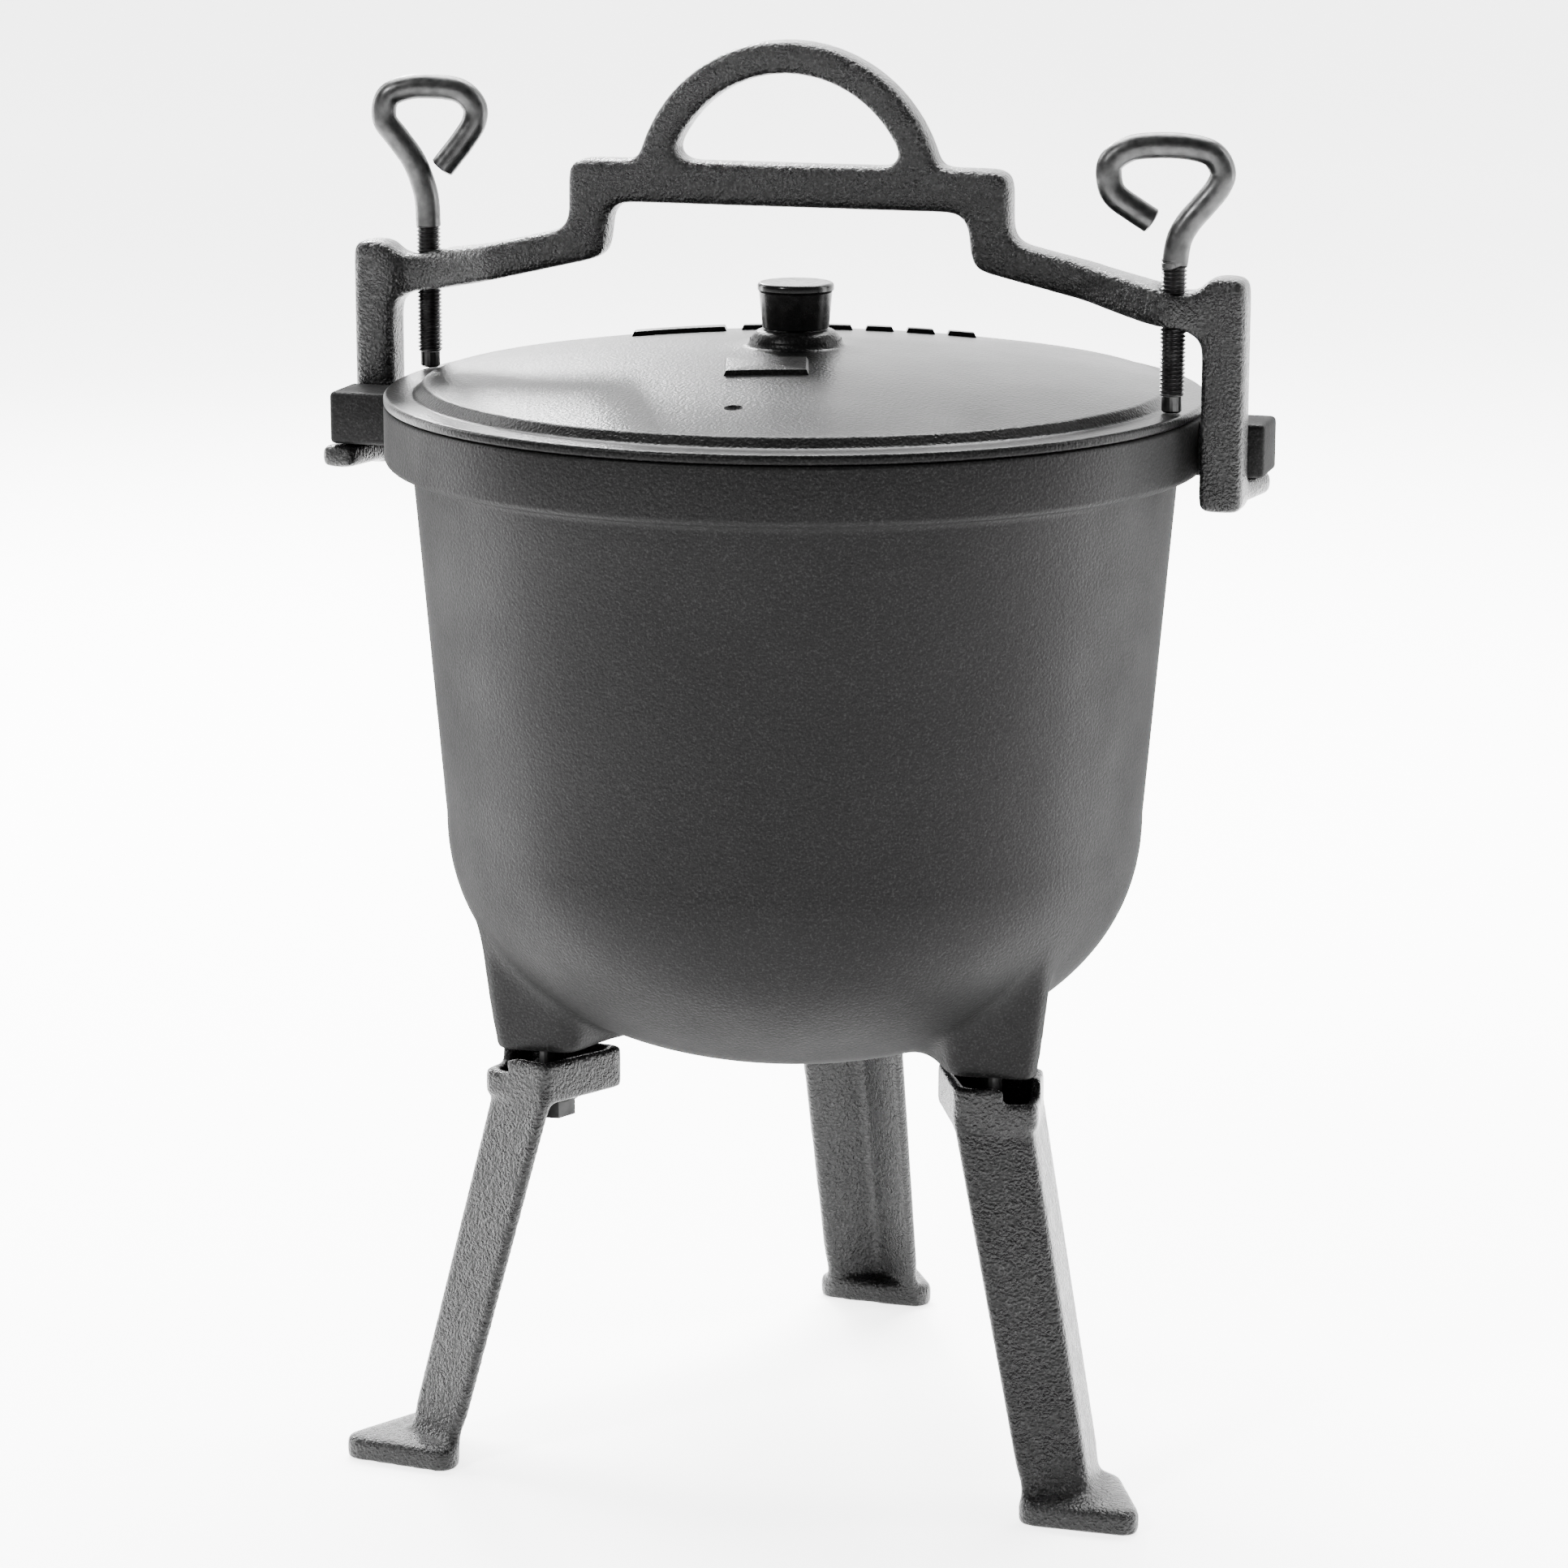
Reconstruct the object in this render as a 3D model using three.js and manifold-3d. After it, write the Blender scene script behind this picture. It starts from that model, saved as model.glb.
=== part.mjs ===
// Three-legged cast-iron cauldron: a flanged lid held down by a clamp yoke and two eye screws.
// Millimetres, +Z up. The yoke runs along X, one leg points to +Y and two to the front.
import * as THREE from "three";
import { mergeVertices } from "three/addons/utils/BufferGeometryUtils.js";
import Module from "manifold-3d";

const wasm = await Module();
wasm.setup();
const radians = THREE.MathUtils.degToRad;

// Clearances
const TOUCH_GAP = 0.3;
const BORE_CLEARANCE = 0.3;

// Pot: a collar band over a tapering wall and a round belly
const RIM_R = 130;
const POT_DEPTH = 209.9;
const WALL_T = 4.5;
const COLLAR_H = 18.7;
const NECK_IN = 8.7;
const BELLY_IN = 18.1;
const BELLY_H = 78.5;
const BELLY_POWER = 2.23;
const ROUND_STEPS = 48;

// Lugs on the collar that the yoke hooks under
const LUG_REACH = 20.7;
const LUG_NEAR_Y = 2.5;
const LUG_FAR_Y = 18.4;
const LUG_TOP_DROP = 0.9;
const LUG_H = 16.9;

// Bosses on the belly and the bolted legs
// The bosses stand a little round from the yoke, and each leg is skewed about its own bolt.
const LEG_ANGLES = { rear: 94.2, left: 214.2, right: 334.2 };
const LEG_SKEW = -7.5;
const BOSS_Z = 135.6;
const BELLY_DROP = 5.7;
const BOSS_H = 68;
const BOSS_TIP_R = 100.2;
const BOSS_SPREAD = 11;
const BOSS_HALF_W = 16;
const BOSS_WIDE_R = 80;
const BOSS_INNER_R = 56;
const STUB_R = 9;
const KEY_W = 8;
const KEY_DROP = 6;
const NOTCH_GAP = 3.4;
const NOTCH_UNDER = 0.8;
const LEG_HEAD_H = 13.8;
const LEG_HEAD_GAP = 1.5;
const LEG_FLOOR_T = 4;
const LEG_HEAD_WALL = 4;
const LEG_TIP_R = 104.5;
const LEG_NECK_IN = 3.2;
const LEG_HALF_W = 19.5;
const LEG_WIDE_R = 87;
const LEG_INNER_R = 57;
const LEG_BOLT_R = 82;
const LEG_FOOT_CORNER_R = 131.2;
const LEG_FLANGE_W = 24.2;
const LEG_FLANGE_FOOT_W = 21.5;
const LEG_FLANGE_T = 4.6;
const LEG_FLANGE_ANGLE = 54.5;
const FOOT_T = 8;
const FOOT_TIP_OUT = 13.9;
const FOOT_TIP_ROUND = 5;
const FOOT_HEEL_IN = 9.9;
const FOOT_HEEL_HALF = 14.3;
const FOOT_HEEL_ROUND = 6;

// Fixing bolts
const LEG_BOLT_D = 8;
const LEG_BOLT_AF = 13;
const LEG_BOLT_HEAD = 5.3;
const LEG_BOLT_GRIP = 14;
const LEG_WASHER_D = 17;
const LEG_WASHER_T = 1.6;
const KNOB_BOLT_D = 6;
const KNOB_BOLT_HEAD_D = 12;
const KNOB_BOLT_HEAD = 4;
const KNOB_WASHER_D = 16;
const KNOB_WASHER_T = 1.5;

// Lid and knob
const FLANGE_T = 3.1;
const FLANGE_W = 11;
const LID_STEP_H = 3.6;
const LID_RISE = 14;
const LID_BOSS_R = 14.5;
const LID_BOSS_TOP = 19.4;
const LID_WALL_T = 4;
const DIMPLE_R = 3.5;
const DIMPLE_AT = [-18.5, -89];
const LID_TURN = 15.75;
const MARK_H = 0.9;
const FRONT_MARK = { x: -9, y: -40, length: 27, width: 22 };
const REAR_PLATE = { x: -38, y: 62, length: 32, width: 20 };
const REAR_PAD = { x: -13, y: 64, length: 10, width: 12 };
const REAR_PADS = 6;
const REAR_PAD_PITCH = 13.5;
const KNOB_TOP_R = 12.1;
const KNOB_FOOT_R = 10.5;
const KNOB_H = 14.6;
const KNOB_INSERT_R = 5;
const KNOB_INSERT_H = 9;

// Clamp yoke, measured from its own centre and from the top of the lid flange
const YOKE_SHIFT = -2;
const YOKE_T = 13;
const YOKE_BAR_Z = 57.7;
const YOKE_BAR_H = 13.8;
const ARCH_R = 50.3;
const ARCH_IN_R = 39.8;
const ARCH_CENTRE_Z = 59.5;
const SHOULDER_X = 71.9;
const STEP_X = 57.8;
const ARM_T = 13.6;
const ARM_DEPTH_T = 14;
const ARM_GAP = 4.7;
const ARM_TOP_Z = 42.2;
const ARM_LOW = 9.3;
const ARM_SLOPE_Z = 25.2;
const ARM_SLOPE_T = 12.6;
const BEND_X_IN = 29;
const BEND_ANGLE = 27;
const BEND_T = 15;
const TOE_T = 7.6;
const TOE_END_Y = 20;
const TOE_IN = 4.2;
const TOE_OUT = 1.8;

// Eye screws, M8 by 1.25
const SCREW_IN = 4.2;
const SCREW_Y = 14.7;
const SCREW_D = 8;
const SCREW_PITCH = 1.25;
const THREAD_DEPTH = 0.65;
const THREAD_LENGTH = 41;
const THREAD_STEPS = 12;
const DOG_D = 6.3;
const DOG_H = 5;
const EYE_TURN = 15.75;

// Heights and radii that follow from the sizes above
const BELLY_LOW_Z = BOSS_Z - BELLY_DROP;
const RIM_Z = BELLY_LOW_Z + POT_DEPTH;
const BELLY_TOP_Z = BELLY_LOW_Z + BELLY_H;
const BELLY_R = RIM_R - BELLY_IN;
const NECK_R = RIM_R - NECK_IN;
const COLLAR_Z = RIM_Z - COLLAR_H;
const FLANGE_Z = RIM_Z + TOUCH_GAP + FLANGE_T;
const LUG_TOP_Z = RIM_Z - LUG_TOP_DROP;
const LUG_LOW_Z = LUG_TOP_Z - LUG_H;
const LEG_RIM_Z = BOSS_Z - LEG_HEAD_GAP;
const LEG_FLOOR_Z = LEG_RIM_Z - LEG_HEAD_H;
const ARM_IN_X = RIM_R + ARM_GAP;
const ARM_OUT_X = ARM_IN_X + ARM_T;
const SCREW_X = RIM_R - SCREW_IN;
const LUG_SIDE_Y = LUG_NEAR_Y + TOUCH_GAP;
const TOE_TOP_Z = LUG_LOW_Z - TOUCH_GAP;
const DOG_Z = FLANGE_Z + TOUCH_GAP;
const SCREW_Z = DOG_Z + DOG_H;
const KNOB_Z = RIM_Z + TOUCH_GAP + LID_BOSS_TOP + FLANGE_T + TOUCH_GAP;
const FOOT_TIP_R = LEG_FOOT_CORNER_R + FOOT_TIP_OUT;

// The part's origin is on the ground under the middle of its bounding box.
const REAR_BOLT_Y = LEG_BOLT_R * Math.sin(radians(LEG_ANGLES.rear));
const REAR_REACH = (FOOT_TIP_R - LEG_BOLT_R) * Math.sin(radians(LEG_ANGLES.rear + LEG_SKEW));
const CENTRE_X = YOKE_SHIFT;
const CENTRE_Y = (REAR_BOLT_Y + REAR_REACH + FOOT_TIP_ROUND - RIM_R) / 2;

// A closed solid for booleans, from a geometry.
function solid(geometry) {
  const bare = geometry.clone();
  bare.deleteAttribute("normal");
  bare.deleteAttribute("uv");
  const merged = mergeVertices(bare, 1e-4);
  const vertProperties = merged.attributes.position.array;
  const triVerts = new Uint32Array(merged.index.array);
  return new wasm.Manifold(new wasm.Mesh({ numProp: 3, vertProperties, triVerts }));
}

// A geometry with flat faces, from a solid.
function geometryOf(body) {
  const mesh = body.getMesh();
  const geometry = new THREE.BufferGeometry();
  geometry.setAttribute("position", new THREE.BufferAttribute(mesh.vertProperties, 3));
  geometry.setIndex(new THREE.BufferAttribute(mesh.triVerts, 1));
  const flat = geometry.toNonIndexed();
  flat.computeVertexNormals();
  return flat;
}

// Points of a closed outline whose corners [x, y, radius] are rounded by arcs.
function rounded(corners, degreesPerStep = 30) {
  const points = [];
  corners.forEach(([x, y, radius = 0], i) => {
    const corner = new THREE.Vector2(x, y);
    if (radius === 0) {
      points.push(corner);
      return;
    }
    const before = corners.at(i - 1);
    const after = corners[(i + 1) % corners.length];
    const back = new THREE.Vector2(before[0], before[1]).sub(corner).normalize();
    const ahead = new THREE.Vector2(after[0], after[1]).sub(corner).normalize();
    const half = Math.acos(back.dot(ahead)) / 2;
    const tangent = radius / Math.tan(half);
    const middle = back.clone().add(ahead).normalize();
    const centre = corner.clone().addScaledVector(middle, radius / Math.sin(half));
    const first = corner.clone().addScaledVector(back, tangent).sub(centre);
    const last = corner.clone().addScaledVector(ahead, tangent).sub(centre);
    const sweep = Math.sign(first.cross(last)) * (Math.PI - 2 * half);
    const steps = Math.max(1, Math.round(Math.abs(sweep) / radians(degreesPerStep)));
    const origin = new THREE.Vector2();
    for (let k = 0; k <= steps; k += 1) {
      const arm = first.clone().rotateAround(origin, (sweep * k) / steps);
      points.push(arm.add(centre));
    }
  });
  return points;
}

// Points of an arc about (x, y) from one angle to another, in degrees.
function arc(x, y, radius, from, to, steps) {
  const points = [];
  for (let k = 0; k <= steps; k += 1) {
    const angle = radians(from + ((to - from) * k) / steps);
    points.push([x + radius * Math.cos(angle), y + radius * Math.sin(angle)]);
  }
  return points;
}

// A vertical prism on a plan outline, from one height to another.
function prism(points, low, high, steps = 1) {
  const shape = new THREE.Shape(points);
  const depth = high - low;
  const geometry = new THREE.ExtrudeGeometry(shape, { depth, steps, bevelEnabled: false });
  return geometry.translate(0, 0, low);
}

// A plate standing on an elevation outline in X and Z, centred on Y.
function plate(points, thickness) {
  const geometry = prism(points, -thickness / 2, thickness / 2);
  return geometry.rotateX(Math.PI / 2);
}

// A body of revolution about Z, from [radius, height] pairs.
function turned(profile, segments) {
  const points = profile.map(([r, z]) => new THREE.Vector2(r, z));
  return new THREE.LatheGeometry(points, segments).rotateX(Math.PI / 2);
}

function cylinder(radius, low, high, segments) {
  return turned([[0, low], [radius, low], [radius, high], [0, high]], segments);
}

// Moves each vertex of a geometry by a rule.
function bent(geometry, rule) {
  const position = geometry.attributes.position;
  for (let i = 0; i < position.count; i += 1) {
    const [x, y, z] = rule(position.getX(i), position.getY(i), position.getZ(i));
    position.setXYZ(i, x, y, z);
  }
  return geometry;
}

// The belly's radius at a height, for the outside or for the cavity.
function bellyProfile(radius, low, steps) {
  const height = BELLY_TOP_Z - low;
  const profile = [];
  for (let k = 0; k <= steps; k += 1) {
    const t = Math.sin((Math.PI / 2) * (k / steps));
    const drop = (1 - t ** BELLY_POWER) ** (1 / BELLY_POWER);
    profile.push([radius * t, BELLY_TOP_Z - height * drop]);
  }
  return profile;
}

function kite(tip, wide, inner, halfWidth, rounding) {
  return rounded([
    [tip, 0, rounding],
    [wide, halfWidth, rounding],
    [inner, 0, rounding],
    [wide, -halfWidth, rounding],
  ]);
}

// One boss on the belly: a kite that grows upwards into the wall, with a stub for the leg's bolt.
function legBoss() {
  const kitePoints = kite(BOSS_TIP_R, BOSS_WIDE_R, BOSS_INNER_R, BOSS_HALF_W, 3);
  const block = prism(kitePoints, BOSS_Z, BOSS_Z + BOSS_H, 2);
  bent(block, (x, y, z) => {
    const rise = (z - BOSS_Z) / BOSS_H;
    return [x + BOSS_SPREAD * rise, y * (1 + 0.5 * rise), z];
  });
  const stubLow = LEG_FLOOR_Z + LEG_FLOOR_T + TOUCH_GAP;
  const stub = cylinder(STUB_R, stubLow, BOSS_Z + 1, 24).translate(LEG_BOLT_R, 0, 0);
  const keyCorners = rounded([
    [BOSS_TIP_R - 4, -KEY_W / 2, 1],
    [BOSS_TIP_R + 1.5, -KEY_W / 2, 1],
    [BOSS_TIP_R + 1.5, KEY_W / 2, 1],
    [BOSS_TIP_R - 4, KEY_W / 2, 1],
  ]);
  const key = prism(keyCorners, BOSS_Z - KEY_DROP, BOSS_Z + 6);
  return solid(block).add(solid(stub)).add(solid(key));
}

function lug() {
  const outline = rounded([
    [RIM_R - 6, -LUG_NEAR_Y],
    [RIM_R + LUG_REACH, -LUG_NEAR_Y, 2],
    [RIM_R + LUG_REACH, LUG_FAR_Y, 2],
    [RIM_R - 6, LUG_FAR_Y],
  ]);
  return prism(outline, LUG_LOW_Z, LUG_TOP_Z);
}

function potBody() {
  const outside = bellyProfile(BELLY_R, BELLY_LOW_Z, 11);
  outside.push([NECK_R, COLLAR_Z - 3.5]);
  outside.push([NECK_R + 1, COLLAR_Z - 1]);
  outside.push([RIM_R - 2.5, COLLAR_Z]);
  outside.push([RIM_R, COLLAR_Z + 2.5]);
  outside.push([RIM_R, RIM_Z - 1]);
  outside.push([RIM_R - 1, RIM_Z]);
  outside.push([0, RIM_Z]);
  const inside = bellyProfile(BELLY_R - WALL_T, BELLY_LOW_Z + WALL_T, 9);
  inside.push([NECK_R - WALL_T, COLLAR_Z - 3.5]);
  inside.push([NECK_R - WALL_T, RIM_Z + 1]);
  inside.push([0, RIM_Z + 1]);
  let body = solid(turned(outside, ROUND_STEPS));
  for (const side of [0, Math.PI]) {
    body = body.add(solid(lug().rotateZ(side)));
  }
  const boss = legBoss();
  const bore = cylinder(LEG_BOLT_D / 2 + BORE_CLEARANCE, LEG_FLOOR_Z, BOSS_Z + 9, 24);
  const boreSolid = solid(bore.translate(LEG_BOLT_R, 0, 0));
  for (const angle of Object.values(LEG_ANGLES)) {
    body = body.add(boss.rotate([0, 0, angle]));
  }
  body = body.subtract(solid(turned(inside, ROUND_STEPS)));
  for (const angle of Object.values(LEG_ANGLES)) {
    body = body.subtract(boreSolid.rotate([0, 0, angle]));
  }
  return geometryOf(body);
}

// The leg's cup-shaped head: a kite with a floor, open at the top, notched at its outer corner.
function legHead() {
  const outer = kite(LEG_TIP_R, LEG_WIDE_R, LEG_INNER_R, LEG_HALF_W, 3);
  const slope = Math.hypot(LEG_TIP_R - LEG_WIDE_R, LEG_HALF_W) / LEG_HALF_W;
  const inset = LEG_HEAD_WALL * slope;
  const pocket = kite(LEG_TIP_R - inset, LEG_WIDE_R, LEG_INNER_R + inset, LEG_HALF_W - 1.25 * LEG_HEAD_WALL, 2);
  const block = solid(prism(outer, LEG_FLOOR_Z, LEG_RIM_Z));
  const hollow = solid(prism(pocket, LEG_FLOOR_Z + LEG_FLOOR_T, LEG_RIM_Z + 1));
  const notchHalf = KEY_W / 2 + NOTCH_GAP;
  const notchLow = BOSS_Z - KEY_DROP - NOTCH_UNDER;
  const notch = prism(
    rounded([
      [BOSS_TIP_R - 12, -notchHalf],
      [LEG_TIP_R + 5, -notchHalf],
      [LEG_TIP_R + 5, notchHalf],
      [BOSS_TIP_R - 12, notchHalf],
    ]),
    notchLow,
    LEG_RIM_Z + 1,
  );
  return block.subtract(hollow).subtract(solid(notch));
}

// The leg's two flanges, meeting in an outward corner that slopes out to the foot.
function legStrip() {
  const along = new THREE.Vector2(-Math.cos(radians(LEG_FLANGE_ANGLE)), Math.sin(radians(LEG_FLANGE_ANGLE)));
  const inner = LEG_FLANGE_T / Math.sin(radians(LEG_FLANGE_ANGLE));
  const endX = along.x * LEG_FLANGE_W;
  const endY = along.y * LEG_FLANGE_W;
  const outline = rounded([
    [0, 0, 1.5],
    [endX, endY, 1],
    [endX - along.y * LEG_FLANGE_T, endY + along.x * LEG_FLANGE_T, 1],
    [-inner, 0, 1.5],
    [endX - along.y * LEG_FLANGE_T, -endY - along.x * LEG_FLANGE_T, 1],
    [endX, -endY, 1],
  ]);
  const low = FOOT_T / 2;
  const high = LEG_FLOOR_Z + 3;
  const strip = prism(outline, low, high, 4);
  const topCorner = LEG_TIP_R - LEG_NECK_IN;
  bent(strip, (x, y, z) => {
    const down = (high - z) / (high - low);
    const narrow = 1 + (LEG_FLANGE_FOOT_W / LEG_FLANGE_W - 1) * down;
    const corner = topCorner + (LEG_FOOT_CORNER_R - topCorner) * down;
    return [corner + x * narrow, y * narrow, z];
  });
  return solid(strip);
}

// The flat foot pad: a rounded triangle with its tip outwards.
function legFoot() {
  const heel = LEG_FOOT_CORNER_R - FOOT_HEEL_IN;
  const circles = [
    [FOOT_TIP_R, 0, FOOT_TIP_ROUND, -65, 65],
    [heel, FOOT_HEEL_HALF, FOOT_HEEL_ROUND, 65, 180],
    [heel, -FOOT_HEEL_HALF, FOOT_HEEL_ROUND, 180, 295],
  ];
  const points = circles.flatMap(([x, y, r, from, to]) => arc(x, y, r, from, to, 6));
  return solid(prism(points.map(([x, y]) => new THREE.Vector2(x, y)), 0, FOOT_T));
}

function leg() {
  const hole = cylinder(LEG_BOLT_D / 2 + BORE_CLEARANCE, 0, LEG_RIM_Z, 24);
  const body = legHead().add(legStrip()).add(legFoot());
  const drilled = body.subtract(solid(hole.translate(LEG_BOLT_R, 0, LEG_FLOOR_Z - 1)));
  return geometryOf(drilled.translate([-LEG_BOLT_R, 0, 0]).rotate([0, 0, LEG_SKEW]).translate([LEG_BOLT_R, 0, 0]));
}

function washer(outer, inner, low, thickness) {
  const high = low + thickness;
  return turned([[inner, low], [outer, low], [outer, high], [inner, high], [inner, low]], 32);
}

// A hexagon-headed bolt: the head from z = low up to the seat, then the shank.
function hexBolt(diameter, acrossFlats, headHeight, seat, length) {
  const head = new THREE.CylinderGeometry(acrossFlats / Math.sqrt(3), acrossFlats / Math.sqrt(3), headHeight, 6);
  head.rotateX(Math.PI / 2).translate(0, 0, seat - headHeight / 2);
  const shank = cylinder(diameter / 2, seat - 1, seat + length, 20);
  return geometryOf(solid(head).add(solid(shank)));
}

// The domed lid: a flat flange, a step, a shallow dome and a round boss under the knob.
function lidProfile() {
  const low = RIM_Z + TOUCH_GAP;
  const domeR = RIM_R - FLANGE_W;
  const profile = [];
  profile.push([0, FLANGE_Z + LID_BOSS_TOP]);
  profile.push([LID_BOSS_R - 3.5, FLANGE_Z + LID_BOSS_TOP]);
  profile.push([LID_BOSS_R - 1, FLANGE_Z + LID_BOSS_TOP - 1.2]);
  profile.push([LID_BOSS_R, FLANGE_Z + LID_BOSS_TOP - 3.5]);
  profile.push([LID_BOSS_R - 0.3, FLANGE_Z + LID_BOSS_TOP - 5]);
  const steps = 6;
  for (let k = 0; k <= steps; k += 1) {
    const r = LID_BOSS_R + 2 + ((domeR - 3.5 - LID_BOSS_R - 2) * k) / steps;
    profile.push([r, FLANGE_Z + domeHeight(r)]);
  }
  profile.push([domeR - 1, FLANGE_Z + LID_STEP_H * 0.6]);
  profile.push([domeR, FLANGE_Z]);
  profile.push([RIM_R - 1, FLANGE_Z]);
  profile.push([RIM_R, FLANGE_Z - 1]);
  profile.push([RIM_R, low + 1]);
  profile.push([RIM_R - 1, low]);
  profile.push([NECK_R - WALL_T - 2, low]);
  for (let k = steps; k >= 0; k -= 1) {
    const r = ((domeR - 9) * k) / steps;
    profile.push([r, FLANGE_Z + domeHeight(r) - LID_WALL_T]);
  }
  return profile.reverse();
}

// The dome's height over the flange at a radius.
function domeHeight(r) {
  const domeR = RIM_R - FLANGE_W - 3.5;
  return LID_STEP_H + (LID_RISE - LID_STEP_H) * (1 - (r / domeR) ** 2);
}

// A plain low pad on the dome.
function raisedPad({ x, y, length, width }) {
  const corner = Math.hypot(Math.abs(x) + length / 2, Math.abs(y) + width / 2);
  const top = FLANGE_Z + domeHeight(Math.hypot(x, y)) + MARK_H;
  const low = FLANGE_Z + domeHeight(corner) - MARK_H;
  const round = width * 0.2;
  const outline = rounded([
    [x - length / 2, y - width / 2, round],
    [x + length / 2, y - width / 2, round],
    [x + length / 2, y + width / 2, round],
    [x - length / 2, y + width / 2, round],
  ]);
  return solid(prism(outline, low, top));
}

function lid() {
  let body = solid(turned(lidProfile(), ROUND_STEPS));
  const dimpleR = Math.hypot(...DIMPLE_AT);
  const dimple = new THREE.SphereGeometry(DIMPLE_R, 16, 10);
  dimple.translate(DIMPLE_AT[0], DIMPLE_AT[1], FLANGE_Z + domeHeight(dimpleR) + DIMPLE_R * 0.6);
  body = body.add(raisedPad(FRONT_MARK)).add(raisedPad(REAR_PLATE));
  for (let k = 0; k < REAR_PADS; k += 1) {
    body = body.add(raisedPad({ ...REAR_PAD, x: REAR_PAD.x + k * REAR_PAD_PITCH }));
  }
  body = body.subtract(solid(dimple));
  const hole = cylinder(KNOB_BOLT_D / 2 + BORE_CLEARANCE, RIM_Z, KNOB_Z + 1, 24);
  return geometryOf(body.subtract(solid(hole))).rotateZ(radians(LID_TURN));
}

function knob() {
  const body = solid(
    turned(
      [
        [0, KNOB_Z],
        [KNOB_FOOT_R - 0.8, KNOB_Z],
        [KNOB_FOOT_R, KNOB_Z + 0.8],
        [KNOB_TOP_R, KNOB_Z + KNOB_H - 2.8],
        [KNOB_TOP_R, KNOB_Z + KNOB_H - 1.2],
        [KNOB_TOP_R - 1.2, KNOB_Z + KNOB_H],
        [0, KNOB_Z + KNOB_H],
      ],
      40,
    ),
  );
  const socket = cylinder(KNOB_INSERT_R + TOUCH_GAP, KNOB_Z - 1, KNOB_Z + KNOB_INSERT_H + TOUCH_GAP, 24);
  return geometryOf(body.subtract(solid(socket)));
}

function knobBolt() {
  const seat = FLANGE_Z + domeHeight(0) - LID_WALL_T - KNOB_WASHER_T - 2 * TOUCH_GAP;
  const top = KNOB_Z + KNOB_INSERT_H - 2;
  const head = KNOB_BOLT_HEAD_D / 2;
  return turned(
    [
      [0, seat - KNOB_BOLT_HEAD],
      [head - 2, seat - KNOB_BOLT_HEAD],
      [head, seat - KNOB_BOLT_HEAD * 0.4],
      [head, seat],
      [KNOB_BOLT_D / 2, seat],
      [KNOB_BOLT_D / 2, top],
      [0, top],
    ],
    24,
  );
}

// Half of the yoke's front view, from the top of the arch out to the end arm and back under the bar.
function yokeHalf() {
  const z0 = FLANGE_Z;
  const barLow = z0 + YOKE_BAR_Z;
  const barHigh = barLow + YOKE_BAR_H;
  const slopeEnd = ARM_IN_X - 1.7;
  const armLow = LUG_LOW_Z - ARM_LOW;
  return [
    [ARCH_R - 1, barHigh, 0],
    [SHOULDER_X, barHigh, 5],
    [SHOULDER_X, z0 + 49.3, 5],
    [102.8, z0 + 42.3, 0],
    [slopeEnd, z0 + 37.2, 3],
    [slopeEnd + 4, z0 + ARM_TOP_Z, 2],
    [ARM_OUT_X, z0 + ARM_TOP_Z, 3],
    [ARM_OUT_X, armLow, 1],
    [ARM_IN_X, armLow, 1],
    [ARM_IN_X, z0 + ARM_SLOPE_Z - 1.5, 4],
    [109, z0 + 28.8, 0],
    [STEP_X + 2, z0 + 40.4, 5],
    [STEP_X, barLow, 5],
  ];
}

function yokeElevation() {
  const archZ = FLANGE_Z + ARCH_CENTRE_Z;
  const rootZ = FLANGE_Z + YOKE_BAR_Z + YOKE_BAR_H + 1.5;
  const start = THREE.MathUtils.radToDeg(Math.asin((rootZ - archZ) / ARCH_R));
  const arch = arc(0, archZ, ARCH_R, 180 - start, start, 18);
  const right = yokeHalf();
  const left = right.map(([x, z, radius]) => [-x, z, radius]).reverse();
  return rounded([...arch, ...right, ...left]);
}

// The hand-hole: an arch over the bar with rounded lower corners.
function handHole() {
  const archZ = FLANGE_Z + ARCH_CENTRE_Z;
  const floorZ = FLANGE_Z + YOKE_BAR_Z + YOKE_BAR_H;
  const start = THREE.MathUtils.radToDeg(Math.asin((floorZ + 3 - archZ) / ARCH_IN_R));
  const arch = arc(0, archZ, ARCH_IN_R, start, 180 - start, 16);
  const corners = [[-33, floorZ, 0], [33, floorZ, 0]];
  return [...arch, ...corners].map(([x, y]) => new THREE.Vector2(x, y));
}

// The yoke's plan: straight in the middle, its ends bent to the screws and back to the arms.
function yokePlan() {
  const half = YOKE_T / 2;
  const armFront = -LUG_SIDE_Y - ARM_DEPTH_T;
  const bend = SCREW_X - BEND_X_IN;
  const turn = radians(BEND_ANGLE);
  const across = [(Math.sin(turn) * BEND_T) / 2, (Math.cos(turn) * BEND_T) / 2];
  const end = [
    [bend - 2, -half, 6],
    [SCREW_X - across[0] + 1, -SCREW_Y - across[1] - 0.6, 3],
    [ARM_IN_X + 2, armFront, 4],
    [ARM_OUT_X, armFront, 1.5],
    [ARM_OUT_X, -LUG_SIDE_Y, 1.5],
    [ARM_IN_X, -LUG_SIDE_Y, 0],
    [SCREW_X + across[0] + 0.5, -SCREW_Y + across[1] + 1, 2],
    [bend + 2, half, 6],
  ];
  return rounded([...end, ...end.map(([x, y, radius]) => [-x, -y, radius])]);
}

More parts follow.
